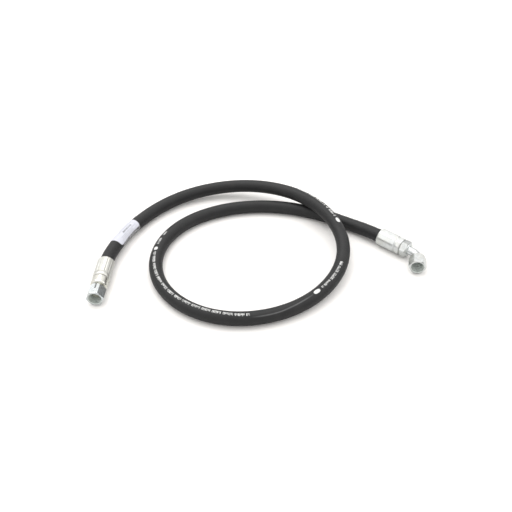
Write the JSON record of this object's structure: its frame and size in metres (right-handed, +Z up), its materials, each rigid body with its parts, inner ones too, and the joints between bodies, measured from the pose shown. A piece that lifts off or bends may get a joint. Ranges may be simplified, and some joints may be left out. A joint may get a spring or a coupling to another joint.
{
  "type": "hydraulic hose assembly",
  "caption": "Coiled half-inch textile-braid hydraulic hose with a straight swivel-nut end, a bent-tube swivel-nut end, crimped zinc ferrules and a wrapped label.",
  "frame": {"origin": "centre of the coil's bounding box on the plane that the coil rests on", "axes": "+Z up; +X from the straight end towards the elbow end, along the coil's long side; +Y away from the two nuts' mouths"},
  "size_m": [0.4796, 0.316, 0.04],
  "materials": {
    "cover_rubber": "wrapped, satin",
    "textile_braid": "braided polyester cord",
    "inner_rubber": "smooth",
    "label_film": "printed film, satin",
    "clear_film": "clear film, glossy",
    "zinc_ferrule": "bright zinc plate, satin",
    "zinc_steel": "bright zinc plate, turned",
    "zinc_nut": "bright zinc plate, machined",
    "spring_wire": "drawn wire"
  },
  "bodies": {
    "loop": {"hose_tube_loop": "inner_rubber", "hose_braid_loop": "textile_braid", "hose_cover_loop": "cover_rubber"},
    "straight_end": {"hose_tube_left": "inner_rubber", "hose_braid_left": "textile_braid", "hose_cover_left": "cover_rubber", "hose_label": "label_film", "label_clear_tail": "clear_film", "straight_ferrule": "zinc_ferrule", "straight_stem": "zinc_steel"},
    "straight_nut": {"straight_swivel_nut": "zinc_nut", "straight_thrust_wire": "spring_wire"},
    "elbow_end": {"hose_tube_right": "inner_rubber", "hose_braid_right": "textile_braid", "hose_cover_right": "cover_rubber", "elbow_ferrule": "zinc_ferrule", "elbow_stem": "zinc_steel", "elbow_tube": "zinc_steel", "elbow_seat_nose": "zinc_steel"},
    "elbow_nut": {"elbow_swivel_nut": "zinc_nut", "elbow_thrust_wire": "spring_wire"}
  },
  "joints": [
    {"name": "straight_flex", "type": "hinge", "parent": "loop", "child": "straight_end", "pos_m": [-0.11493, 0.1329, 0.01266], "axis": [0, 0, 1], "range_deg": [-25, 10], "stiffness_Nm_per_rad": 1.5},
    {"name": "straight_nut_swivel", "type": "hinge", "parent": "straight_end", "child": "straight_nut", "pos_m": [-0.22604, -0.09287, 0.0133], "axis": [-0.0557, -0.9984, 0], "continuous": true},
    {"name": "elbow_flex", "type": "hinge", "parent": "loop", "child": "elbow_end", "pos_m": [0.13194, 0.0612, 0.01005], "axis": [0, 0, 1], "range_deg": [-18, 18], "stiffness_Nm_per_rad": 1.5},
    {"name": "elbow_nut_swivel", "type": "hinge", "parent": "elbow_end", "child": "elbow_nut", "pos_m": [0.22788, -0.02762, 0.0133], "axis": [-0.1791, -0.9838, 0], "continuous": true}
  ]
}
